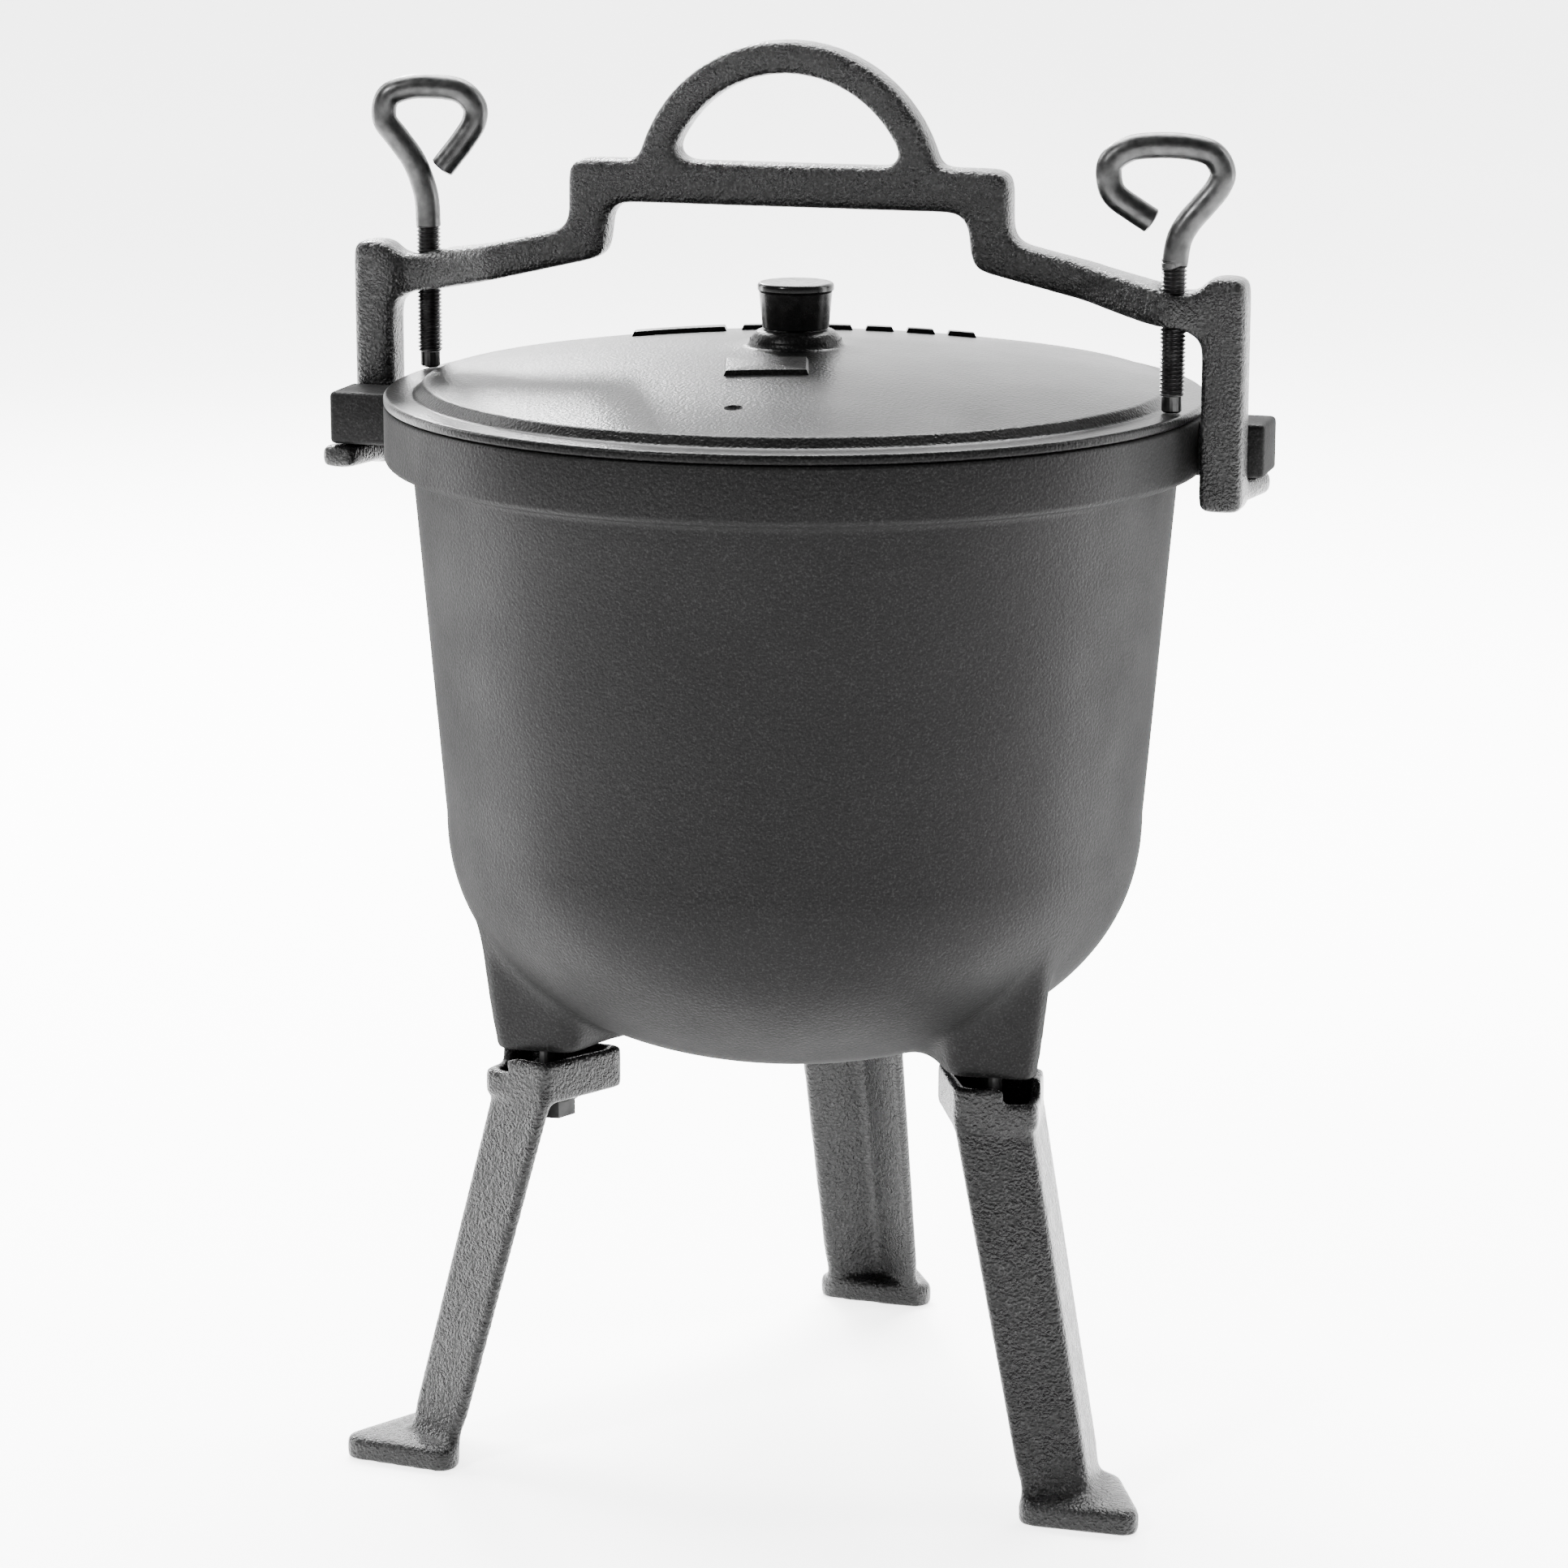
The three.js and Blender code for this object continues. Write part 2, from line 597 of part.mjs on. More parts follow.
// The toe that reaches from the foot of an end arm under its lug.
function yokeToe() {
  const outline = rounded([
    [ARM_OUT_X, -LUG_SIDE_Y - ARM_DEPTH_T + 3, 0],
    [ARM_OUT_X, -LUG_SIDE_Y, 4],
    [ARM_OUT_X + TOE_OUT + 2.4, TOE_END_Y, 2.5],
    [ARM_IN_X + TOE_IN + 1.6, TOE_END_Y, 2.5],
    [ARM_IN_X + 1, -LUG_SIDE_Y, 4],
    [ARM_IN_X + 1, -LUG_SIDE_Y - ARM_DEPTH_T + 3, 0],
  ]);
  return prism(outline, TOE_TOP_Z - TOE_T, TOE_TOP_Z);
}

function clampYoke() {
  const elevation = solid(plate(yokeElevation(), 4 * SCREW_Y));
  const plan = solid(prism(yokePlan(), 0, 2 * FLANGE_Z));
  let body = elevation.intersect(plan).subtract(solid(plate(handHole(), 4 * SCREW_Y)));
  const bore = cylinder(SCREW_D / 2 + BORE_CLEARANCE, RIM_Z, FLANGE_Z + YOKE_BAR_Z, 24);
  const boreSolid = solid(bore.translate(SCREW_X, -SCREW_Y, 0));
  const toe = solid(yokeToe());
  for (const angle of [0, 180]) {
    body = body.add(toe.rotate([0, 0, angle])).subtract(boreSolid.rotate([0, 0, angle]));
  }
  return geometryOf(body).translate(YOKE_SHIFT, 0, 0);
}

// The bent eye on top of a screw, as points [across, height] of its centre line.
const EYES = {
  left: [
    [0, 47], [-0.3, 54], [-1.6, 60], [-4.6, 67.5], [-9.5, 74.5], [-13.6, 80.5], [-12.5, 87.5], [-6.5, 90.4],
    [1.5, 90.9], [10.5, 89.6], [15.3, 85], [15.2, 79.5], [11.5, 73.5], [7.2, 68], [4.8, 65],
  ],
  right: [
    [0, 45], [1.3, 53], [4.2, 58.5], [8.6, 63.7], [12.8, 69], [14.1, 73.8], [11, 79], [4, 81.2],
    [-5.5, 81.7], [-14, 80.7], [-19.8, 76.6], [-20.1, 70.5], [-18, 66.3], [-12.6, 62.4], [-7.4, 59],
  ],
};

function eyeScrew(points, shankTop) {
  const rodR = SCREW_D / 2;
  const profile = [[0, SCREW_Z + TOUCH_GAP]];
  const turns = Math.floor(THREAD_LENGTH / SCREW_PITCH);
  for (let k = 0; k < turns; k += 1) {
    const z = SCREW_Z + TOUCH_GAP + k * SCREW_PITCH;
    profile.push([rodR - THREAD_DEPTH, z], [rodR, z + SCREW_PITCH / 2]);
  }
  profile.push([rodR - THREAD_DEPTH, SCREW_Z + TOUCH_GAP + turns * SCREW_PITCH]);
  profile.push([rodR, SCREW_Z + TOUCH_GAP + turns * SCREW_PITCH + 1]);
  profile.push([rodR, FLANGE_Z + shankTop]);
  profile.push([0, FLANGE_Z + shankTop]);
  const shank = solid(turned(profile, THREAD_STEPS));
  const path = new THREE.CatmullRomCurve3(points.map(([a, z]) => new THREE.Vector3(a, 0, FLANGE_Z + z)));
  const section = new THREE.Shape(
    arc(0, 0, rodR, 0, 324, 9).map(([x, y]) => new THREE.Vector2(x, y)),
  );
  const rod = new THREE.ExtrudeGeometry(section, { steps: 32, extrudePath: path, bevelEnabled: false });
  return solid(rod).add(shank);
}

const CAST = { color: 0x1c1c1d, roughness: 0.5, metalness: 0.3 };
const ENAMEL = { color: 0x232425, roughness: 0.35, metalness: 0.2 };
const STEEL = { color: 0x6b6a67, roughness: 0.4, metalness: 0.9 };
const BRASS = { color: 0xa8873f, roughness: 0.4, metalness: 0.9 };
const BAKELITE = { color: 0x0d0d0e, roughness: 0.25, metalness: 0 };

const cauldron = new THREE.Group();

function place(name, geometry, look) {
  const mesh = new THREE.Mesh(geometry, new THREE.MeshStandardMaterial(look));
  mesh.name = name;
  mesh.position.set(-CENTRE_X, -CENTRE_Y, 0);
  cauldron.add(mesh);
}

place("pot_body", potBody(), ENAMEL);
place("lid", lid(), ENAMEL);
place("lid_knob", knob(), BAKELITE);
place(
  "knob_insert",
  washer(KNOB_INSERT_R, KNOB_BOLT_D / 2 + TOUCH_GAP, KNOB_Z + TOUCH_GAP, KNOB_INSERT_H - TOUCH_GAP),
  BRASS,
);
place(
  "knob_washer",
  washer(
    KNOB_WASHER_D / 2,
    KNOB_BOLT_D / 2 + TOUCH_GAP,
    FLANGE_Z + domeHeight(KNOB_WASHER_D / 2) - LID_WALL_T - KNOB_WASHER_T - TOUCH_GAP,
    KNOB_WASHER_T,
  ),
  STEEL,
);
place("knob_bolt", knobBolt(), STEEL);
place("clamp_yoke", clampYoke(), CAST);

for (const [name, points] of Object.entries(EYES)) {
  const side = name === "right" ? 1 : -1;
  const x = YOKE_SHIFT + side * SCREW_X;
  const y = -side * SCREW_Y;
  const screw = geometryOf(eyeScrew(points, points[0][1] + 3)).rotateZ(radians(EYE_TURN));
  place(`clamp_screw_${name}`, screw.translate(x, y, 0), STEEL);
  const dog = turned(
    [[0, DOG_Z], [DOG_D / 2 - 0.6, DOG_Z], [DOG_D / 2, DOG_Z + 0.6], [DOG_D / 2, SCREW_Z], [0, SCREW_Z]],
    20,
  );
  place(`screw_tip_${name}`, dog.translate(x, y, 0), STEEL);
}

for (const [name, angle] of Object.entries(LEG_ANGLES)) {
  const turn = radians(angle);
  const washerZ = LEG_FLOOR_Z - TOUCH_GAP - LEG_WASHER_T;
  const ring = washer(LEG_WASHER_D / 2, LEG_BOLT_D / 2 + TOUCH_GAP, washerZ, LEG_WASHER_T);
  const bolt = hexBolt(LEG_BOLT_D, LEG_BOLT_AF, LEG_BOLT_HEAD, washerZ - TOUCH_GAP, LEG_BOLT_GRIP + 10);
  place(`leg_${name}`, leg().rotateZ(turn), CAST);
  place(`leg_washer_${name}`, ring.translate(LEG_BOLT_R, 0, 0).rotateZ(turn), STEEL);
  place(`leg_bolt_${name}`, bolt.translate(LEG_BOLT_R, 0, 0).rotateZ(turn), STEEL);
}

export default cauldron;
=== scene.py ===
import math

import bmesh
import bpy
import numpy as np
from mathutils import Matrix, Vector


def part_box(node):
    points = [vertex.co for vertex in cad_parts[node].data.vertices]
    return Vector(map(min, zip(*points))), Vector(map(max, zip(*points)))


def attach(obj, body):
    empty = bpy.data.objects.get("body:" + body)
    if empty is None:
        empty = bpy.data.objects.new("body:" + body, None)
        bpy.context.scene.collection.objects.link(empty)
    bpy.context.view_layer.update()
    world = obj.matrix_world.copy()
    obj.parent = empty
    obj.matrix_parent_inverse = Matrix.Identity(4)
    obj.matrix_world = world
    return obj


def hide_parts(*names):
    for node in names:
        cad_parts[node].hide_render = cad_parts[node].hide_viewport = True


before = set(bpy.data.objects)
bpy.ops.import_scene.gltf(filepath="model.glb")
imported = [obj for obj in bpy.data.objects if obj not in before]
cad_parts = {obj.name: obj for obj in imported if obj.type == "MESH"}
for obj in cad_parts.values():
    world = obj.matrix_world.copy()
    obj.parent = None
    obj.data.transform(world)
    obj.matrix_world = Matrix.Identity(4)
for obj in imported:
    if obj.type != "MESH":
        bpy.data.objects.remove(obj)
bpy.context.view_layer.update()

MM = 0.001
SCENE = bpy.context.scene

# ---------------------------------------------------------------- camera
CAMERA_AT = (0.41075, -1.45919, 0.56516)
CAMERA_TURN = (76.918, -0.077, 15.901)
CAMERA_LENS = 110.18


def make_camera():
    data = bpy.data.cameras.new("camera")
    data.lens = CAMERA_LENS
    data.sensor_width = 36
    camera = bpy.data.objects.new("camera", data)
    camera.location = CAMERA_AT
    camera.rotation_euler = [math.radians(a) for a in CAMERA_TURN]
    SCENE.collection.objects.link(camera)
    SCENE.camera = camera


make_camera()

# ---------------------------------------------------------------- places, from the frame
LID_LOW, LID_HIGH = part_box("lid")
POT_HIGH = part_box("pot_body")[1]
KNOB_LOW, KNOB_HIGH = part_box("lid_knob")
AXIS = Vector(((LID_LOW.x + LID_HIGH.x) / 2, (LID_LOW.y + LID_HIGH.y) / 2, 0))
RIM_R = (LID_HIGH.y - LID_LOW.y) / 2
RIM_Z = POT_HIGH.z

# Pot sizes, as in the CAD
BOSS_Z = 0.1356
BOSS_TIP_R = 99.6 * MM
BOSS_WIDE_R = (77 * MM, 81 * MM)
BOSS_INNER_R = 57 * MM
BOSS_HALF_W = 16.5 * MM
BOSS_BLUNT = 2.5 * MM
BOSS_H = 66 * MM
BOSS_SPREAD = 10.5 * MM
BELLY_LOW_Z = BOSS_Z - 5.7 * MM
BELLY_H = 78.5 * MM
BELLY_TOP_Z = BELLY_LOW_Z + BELLY_H
BELLY_POWER = 2.23
BELLY_R = RIM_R - 18.1 * MM
NECK_R = RIM_R - 8.7 * MM
COLLAR_H = 18.7 * MM
COLLAR_Z = RIM_Z - COLLAR_H
WALL_T = 4.5 * MM
FLANGE_T = 3.1 * MM
FLANGE_W = 11 * MM
FLANGE_Z = LID_LOW.z + FLANGE_T
LEG_ANGLES = {"rear": 94.2, "left": 214.2, "right": 334.2}


# ---------------------------------------------------------------- mesh tools
def mesh_object(name, verts, faces, smooth=True):
    mesh = bpy.data.meshes.new(name)
    mesh.from_pydata([tuple(v) for v in verts], [], faces)
    mesh.update()
    if smooth:
        mesh.shade_smooth()
    obj = bpy.data.objects.new(name, mesh)
    SCENE.collection.objects.link(obj)
    return obj


def lathe(name, profile, segments):
    """A body of revolution about the pot's axis, from (radius, height) pairs. A radius of 0 ends in a fan."""
    verts, rows = [], []
    for r, z in profile:
        if r < 1e-7:
            rows.append([len(verts)])
            verts.append((AXIS.x, AXIS.y, z))
            continue
        row = []
        for k in range(segments):
            a = 2 * math.pi * k / segments
            row.append(len(verts))
            verts.append((AXIS.x + r * math.cos(a), AXIS.y + r * math.sin(a), z))
        rows.append(row)
    faces = []
    for low, high in zip(rows, rows[1:]):
        for k in range(segments):
            n = (k + 1) % segments
            if len(low) == 1 and len(high) == 1:
                continue
            if len(low) == 1:
                faces.append((low[0], high[n], high[k]))
            elif len(high) == 1:
                faces.append((low[k], low[n], high[0]))
            else:
                faces.append((low[k], low[n], high[n], high[k]))
    return mesh_object(name, verts, faces)


def fillet(points, steps):
    """Rounds the corners of an open profile of (x, z, radius) points."""
    out = []
    for i, (x, z, r) in enumerate(points):
        if r <= 0 or i in (0, len(points) - 1):
            out.append((x, z))
            continue
        p = Vector((x, z))
        a = (Vector(points[i - 1][:2]) - p).normalized()
        b = (Vector(points[i + 1][:2]) - p).normalized()
        half = math.acos(max(-1, min(1, a.dot(b)))) / 2
        centre = p + (a + b).normalized() * r / math.sin(half)
        start = p + a * r / math.tan(half) - centre
        end = p + b * r / math.tan(half) - centre
        sweep = start.angle_signed(end)
        for k in range(steps + 1):
            t = -sweep * k / steps
            c, s = math.cos(t), math.sin(t)
            out.append((centre.x + c * start.x - s * start.y, centre.y + s * start.x + c * start.y))
    return out


def copy_of(node, name):
    obj = bpy.data.objects.new(name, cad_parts[node].data.copy())
    obj.data.materials.clear()
    SCENE.collection.objects.link(obj)
    return obj


def join(objects, name):
    """One object with the meshes of several, which all sit at the origin."""
    bm = bmesh.new()
    for obj in objects:
        bm.from_mesh(obj.data)
    mesh = bpy.data.meshes.new(name)
    bm.to_mesh(mesh)
    bm.free()
    for obj in objects:
        bpy.data.objects.remove(obj)
    out = bpy.data.objects.new(name, mesh)
    SCENE.collection.objects.link(out)
    return out


def applied(obj):
    bpy.context.view_layer.update()
    graph = bpy.context.evaluated_depsgraph_get()
    mesh = bpy.data.meshes.new_from_object(obj.evaluated_get(graph))
    obj.modifiers.clear()
    obj.data = mesh
    return obj


def voxel(obj, size):
    mod = obj.modifiers.new("remesh", "REMESH")
    mod.mode = "VOXEL"
    mod.voxel_size = size
    mod.use_smooth_shade = True
    return applied(obj)


def coordinates(mesh):
    co = np.zeros(len(mesh.vertices) * 3)
    mesh.vertices.foreach_get("co", co)
    return co.reshape(-1, 3)


def set_coordinates(mesh, co):
    mesh.vertices.foreach_set("co", co.ravel())
    mesh.update()


def relax(obj, rounds, weight=None):
    """Moves each vertex towards the mean of its neighbours, by an optional weight per vertex."""
    mesh = obj.data
    co = coordinates(mesh)
    edges = np.zeros(len(mesh.edges) * 2, np.int64)
    mesh.edges.foreach_get("vertices", edges)
    a, b = edges[0::2], edges[1::2]
    count = np.bincount(a, minlength=len(co)) + np.bincount(b, minlength=len(co))
    count = np.maximum(count, 1)[:, None]
    w = 0.5 if weight is None else 0.5 * weight[:, None]
    for _ in range(rounds):
        mean = np.zeros_like(co)
        for i in range(3):
            mean[:, i] = np.bincount(a, co[b, i], len(co)) + np.bincount(b, co[a, i], len(co))
        co += w * (mean / count - co)
    set_coordinates(mesh, co)


def decimate(obj, ratio):
    mod = obj.modifiers.new("decimate", "DECIMATE")
    mod.ratio = ratio
    applied(obj)
    obj.data.shade_smooth()


# ---------------------------------------------------------------- materials
def shader(name, color, roughness, metallic=0.0, coat=0.0, coat_roughness=0.1, specular=0.5):
    mat = bpy.data.materials.new(name)
    mat.use_nodes = True
    bsdf = mat.node_tree.nodes["Principled BSDF"]
    bsdf.inputs["Base Color"].default_value = (*color, 1)
    bsdf.inputs["Roughness"].default_value = roughness
    bsdf.inputs["Metallic"].default_value = metallic
    bsdf.inputs["Coat Weight"].default_value = coat
    bsdf.inputs["Coat Roughness"].default_value = coat_roughness
    bsdf.inputs["Specular IOR Level"].default_value = specular
    return mat, mat.node_tree, bsdf


def noise(tree, scale, detail, rough=0.5):
    nodes, links = tree.nodes, tree.links
    coord = nodes.new("ShaderNodeTexCoord")
    tex = nodes.new("ShaderNodeTexNoise")
    tex.inputs["Scale"].default_value = scale
    tex.inputs["Detail"].default_value = detail
    tex.inputs["Roughness"].default_value = rough
    links.new(coord.outputs["Object"], tex.inputs["Vector"])
    return tex.outputs["Fac"]


def ramp(tree, value, stops):
    node = tree.nodes.new("ShaderNodeValToRGB")
    elements = node.color_ramp.elements
    while len(elements) < len(stops):
        elements.new(0.5)
    for element, (position, level) in zip(elements, stops):
        element.position = position
        element.color = (*level, 1) if isinstance(level, tuple) else (level, level, level, 1)
    tree.links.new(value, node.inputs["Fac"])
    return node.outputs["Color"]


def mix(tree, kind, fac, a, b):
    node = tree.nodes.new("ShaderNodeMix")
    node.data_type = "RGBA"
    node.blend_type = kind
    for socket, value in ((node.inputs["Factor"], fac), (node.inputs[6], a), (node.inputs[7], b)):
        if hasattr(value, "links"):
            tree.links.new(value, socket)
        else:
            socket.default_value = value
    return node.outputs[2]


def bump(tree, bsdf, height, strength, distance, before=None):
    node = tree.nodes.new("ShaderNodeBump")
    node.inputs["Strength"].default_value = strength
    node.inputs["Distance"].default_value = distance
    tree.links.new(height, node.inputs["Height"])
    if before is not None:
        tree.links.new(before, node.inputs["Normal"])
    tree.links.new(node.outputs["Normal"], bsdf.inputs["Normal"])
    return node.outputs["Normal"]


CASTING_SPECULAR = 0.2


def enamel(name, tone, roughness, specular, dulling):
    """Satin black enamel: fine speckle, faint clouding and a pinhead grain, duller where it turns away."""
    mat, tree, bsdf = shader(name, (tone, tone, tone), roughness, specular=specular)
    speck = ramp(tree, noise(tree, 1500, 2), [(0.42, tone * 0.6), (0.56, tone * 1.2), (0.7, tone * 3.2)])
    cloud = ramp(tree, noise(tree, 14, 3), [(0.3, 0.86), (0.7, 1.1)])
    tree.links.new(mix(tree, "MULTIPLY", 1.0, speck, cloud), bsdf.inputs["Base Color"])
    rough = ramp(tree, noise(tree, 30, 4), [(0.3, roughness * 0.92), (0.7, roughness * 1.1)])
    facing = tree.nodes.new("ShaderNodeLayerWeight")
    facing.inputs["Blend"].default_value = 0.5
    dull = ramp(tree, facing.outputs["Facing"], [(0.4, 0.0), (0.85, dulling)])
    tree.links.new(mix(tree, "ADD", 1.0, rough, dull), bsdf.inputs["Roughness"])
    first = bump(tree, bsdf, noise(tree, 1000, 2), 1.0, 0.22 * MM)
    bump(tree, bsdf, noise(tree, 60, 2), 0.2, 0.4 * MM, first)
    return mat


def casting(name, tone, roughness):
    """Black paint on sand-cast iron: a pebbled orange-rind skin over low lumps, with bright specks in its
    colour that are painted glints.
    """
    mat, tree, bsdf = shader(name, (tone, tone, tone), roughness, specular=CASTING_SPECULAR)
    grain = noise(tree, 1050, 2, 0.55)
    lumps = noise(tree, 430, 2, 0.5)
    # Tone varies at random over the grain, and the brightest specks, up to four times the tone, are painted
    # glints.
    grain_tone_and_glints = ramp(tree, grain, [(0.4, tone * 0.5), (0.56, tone), (0.7, tone * 4)])
    cloud = ramp(tree, noise(tree, 40, 3), [(0.3, 0.75), (0.7, 1.3)])
    tree.links.new(mix(tree, "MULTIPLY", 1.0, grain_tone_and_glints, cloud), bsdf.inputs["Base Color"])
    rough = ramp(tree, noise(tree, 160, 3), [(0.3, roughness * 0.8), (0.7, roughness * 1.25)])
    tree.links.new(rough, bsdf.inputs["Roughness"])
    first = bump(tree, bsdf, grain, 1.0, 0.7 * MM)
    bump(tree, bsdf, lumps, 0.6, 0.5 * MM, first)
    return mat


def steel(name, tone, roughness):
    """Dark steel with a little staining."""
    mat, tree, bsdf = shader(name, (tone, tone, tone), roughness, metallic=1.0)
    stain = ramp(tree, noise(tree, 220, 4), [(0.3, tone * 0.7), (0.7, tone * 1.3)])
    tree.links.new(stain, bsdf.inputs["Base Color"])
    rough = ramp(tree, noise(tree, 500, 3), [(0.3, roughness * 0.8), (0.7, roughness * 1.3)])
    tree.links.new(rough, bsdf.inputs["Roughness"])
    bump(tree, bsdf, noise(tree, 700, 3), 0.25, 0.15 * MM)
    return mat


def bakelite(name):
    mat, tree, bsdf = shader(name, (0.003, 0.003, 0.003), 0.24, coat=0.04, coat_roughness=0.08, specular=0.1)
    rough = ramp(tree, noise(tree, 400, 3), [(0.35, 0.17), (0.7, 0.3)])
    tree.links.new(rough, bsdf.inputs["Roughness"])
    bump(tree, bsdf, noise(tree, 300, 2), 0.12, 0.1 * MM)
    return mat


def brass(name):
    mat, tree, bsdf = shader(name, (0.55, 0.38, 0.14), 0.35, metallic=1.0)
    tint = ramp(tree, noise(tree, 300, 3), [(0.3, (0.42, 0.28, 0.1)), (0.7, (0.6, 0.43, 0.17))])
    tree.links.new(tint, bsdf.inputs["Base Color"])
    return mat


POT_ENAMEL = enamel("pot_enamel", 0.003, 0.48, 0.075, 0.4)
LID_ENAMEL = enamel("lid_enamel", 0.003, 0.3, 0.055, 0.0)
CASTING = casting("cast_paint", 0.005, 0.26)
SCREW_STEEL = steel("screw_steel", 0.045, 0.36)
BOLT_STEEL = steel("bolt_steel", 0.02, 0.42)
BAKELITE = bakelite("knob_bakelite")
BRASS = brass("insert_brass")


def finish_piece(obj, material, body, slot, *nodes):
    obj.data.materials.clear()
    obj.data.materials.append(material)
    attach(obj, body)
    if nodes:
        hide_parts(*nodes)
    return obj


# ---------------------------------------------------------------- pot
def belly(radius, low, t):
    """(radius, height) on the round belly at t from 0, the bottom, to 1, its widest ring."""
    s = math.sin(math.pi / 2 * t)
    drop = (1 - s**BELLY_POWER) ** (1 / BELLY_POWER)
    return radius * s, BELLY_TOP_Z - (BELLY_TOP_Z - low) * drop


def pot_profile():
    outside = [belly(BELLY_R, BELLY_LOW_Z, k / 48) for k in range(49)]
    collar = fillet(
        [
            (BELLY_R, BELLY_TOP_Z, 0),
            (NECK_R, COLLAR_Z + 0.4 * MM, 3.5 * MM),
            (RIM_R, COLLAR_Z, 2.6 * MM),
            (RIM_R, RIM_Z, 1.2 * MM),
            (NECK_R - WALL_T, RIM_Z, 1.2 * MM),
            (NECK_R - WALL_T, COLLAR_Z, 8 * MM),
            (BELLY_R - WALL_T, BELLY_TOP_Z, 0),
        ],
        8,
    )
    inside = [belly(BELLY_R - WALL_T, BELLY_LOW_Z + WALL_T, 1 - k / 40) for k in range(41)]
    return outside[:-1] + collar[:-1] + inside


def outer_radius(z):
    """The outer wall's radius at heights z (an array), up to the collar."""
    t = np.clip((BELLY_TOP_Z - z) / BELLY_H, 0, 1)
    round_part = BELLY_R * (1 - t**BELLY_POWER) ** (1 / BELLY_POWER)
    neck_z = COLLAR_Z - 2.8 * MM
    rise = np.clip((z - BELLY_TOP_Z) / (neck_z - BELLY_TOP_Z), 0, 1)
    return np.where(z < BELLY_TOP_Z, round_part, BELLY_R + (NECK_R - BELLY_R) * rise)


def polygon_prism(name, rings):
    """A closed solid through rings of equally many points, the first and last capped."""
    count = len(rings[0])
    verts = [p for ring in rings for p in ring]
    faces = [tuple(reversed(range(count)))]
    for i in range(len(rings) - 1):
        base = i * count
        for k in range(count):
            n = (k + 1) % count
            faces.append((base + k, base + n, base + count + n, base + count + k))
    faces.append(tuple(range((len(rings) - 1) * count, len(rings) * count)))
    return mesh_object(name, verts, faces, smooth=False)


def turned_to(angle, points):
    """Points given along a leg's radial plane, (outwards, across, height), placed round the pot."""
    a = math.radians(angle)
    c, s = math.cos(a), math.sin(a)
    return [(AXIS.x + c * x - s * y, AXIS.y + s * x + c * y, z) for x, y, z in points]


def boss_solid(angle):
    """The kite-shaped boss under the belly that a leg bolts to."""
    near, far = BOSS_WIDE_R
    rings = []
    for rise in (0, 0.25, 0.5, 0.75, 1):
        wide = BOSS_HALF_W * (1 + 0.5 * rise)
        outline = [
            (BOSS_TIP_R, -BOSS_BLUNT),
            (BOSS_TIP_R, BOSS_BLUNT),
            (far, wide),
            (near, wide),
            (BOSS_INNER_R, BOSS_BLUNT),
            (BOSS_INNER_R, -BOSS_BLUNT),
            (near, -wide),
            (far, -wide),
        ]
        z = BOSS_Z + BOSS_H * rise
        rings.append(turned_to(angle, [(x + BOSS_SPREAD * rise, y, z) for x, y in outline]))
    return polygon_prism("boss", rings)


def belly_solid():
    points = [belly(BELLY_R, BELLY_LOW_Z, k / 40) for k in range(41)]
    return lathe("belly", points + [(BELLY_R, BELLY_TOP_Z + 14 * MM), (0, BELLY_TOP_Z + 14 * MM)], 160)


BOSS_VOXEL = 1.1 * MM
YOKE_VOXEL = 0.8 * MM
YOKE_SMOOTHING = 45
LEG_VOXEL = 0.75 * MM
LEG_SMOOTHING = 14
FOOT_SMOOTHING = 40
KEPT_FACES = 0.45


def boss_patch():
    """The bosses with soft fillets into the belly, as a skin that ends tangent to it."""
    solids = [belly_solid()] + [boss_solid(a) for a in LEG_ANGLES.values()]
    obj = voxel(join(solids, "boss_patch"), BOSS_VOXEL)
    co = coordinates(obj.data)

    def height(points):
        r = np.hypot(points[:, 0] - AXIS.x, points[:, 1] - AXIS.y)
        over = r - outer_radius(np.maximum(points[:, 2], BELLY_LOW_Z + 0.01 * MM))
        slope = np.clip((points[:, 2] - BELLY_LOW_Z) / BELLY_H, 0.12, 1)
        return over * np.minimum(1, slope * 1.6)

    near = np.clip(1 - (height(co) - 1 * MM) / (9 * MM), 0, 1)
    relax(obj, 70, near)
    relax(obj, 3)
    co = coordinates(obj.data)
    over = height(co)
    bm = bmesh.new()
    bm.from_mesh(obj.data)
    bm.verts.ensure_lookup_table()
    buried = [v for v in bm.verts if over[v.index] < -0.15 * MM]
    top = [v for v in bm.verts if v.co.z > BELLY_TOP_Z + 8 * MM]
    bmesh.ops.delete(bm, geom=list(set(buried) | set(top)), context="VERTS")
    bm.to_mesh(obj.data)
    bm.free()
    obj.data.shade_smooth()
    return obj


def rounded_block(name, low, high, radius, segments=3):
    bm = bmesh.new()
    bmesh.ops.create_cube(bm, size=1)
    size = Vector(high) - Vector(low)
    for v in bm.verts:
        v.co = Vector(low) + Vector(((v.co[i] + 0.5) * size[i] for i in range(3)))
    bmesh.ops.bevel(bm, geom=bm.edges[:], offset=radius, segments=segments, affect="EDGES", profile=0.5)
    mesh = bpy.data.meshes.new(name)
    bm.to_mesh(mesh)
    bm.free()
    mesh.shade_smooth()
    obj = bpy.data.objects.new(name, mesh)
    SCENE.collection.objects.link(obj)
    return obj


LUG_REACH = 20.7 * MM
LUG_NEAR = 2.5 * MM
LUG_FAR = 18.4 * MM
LUG_TOP_Z = RIM_Z - 0.9 * MM
LUG_LOW_Z = LUG_TOP_Z - 16.9 * MM


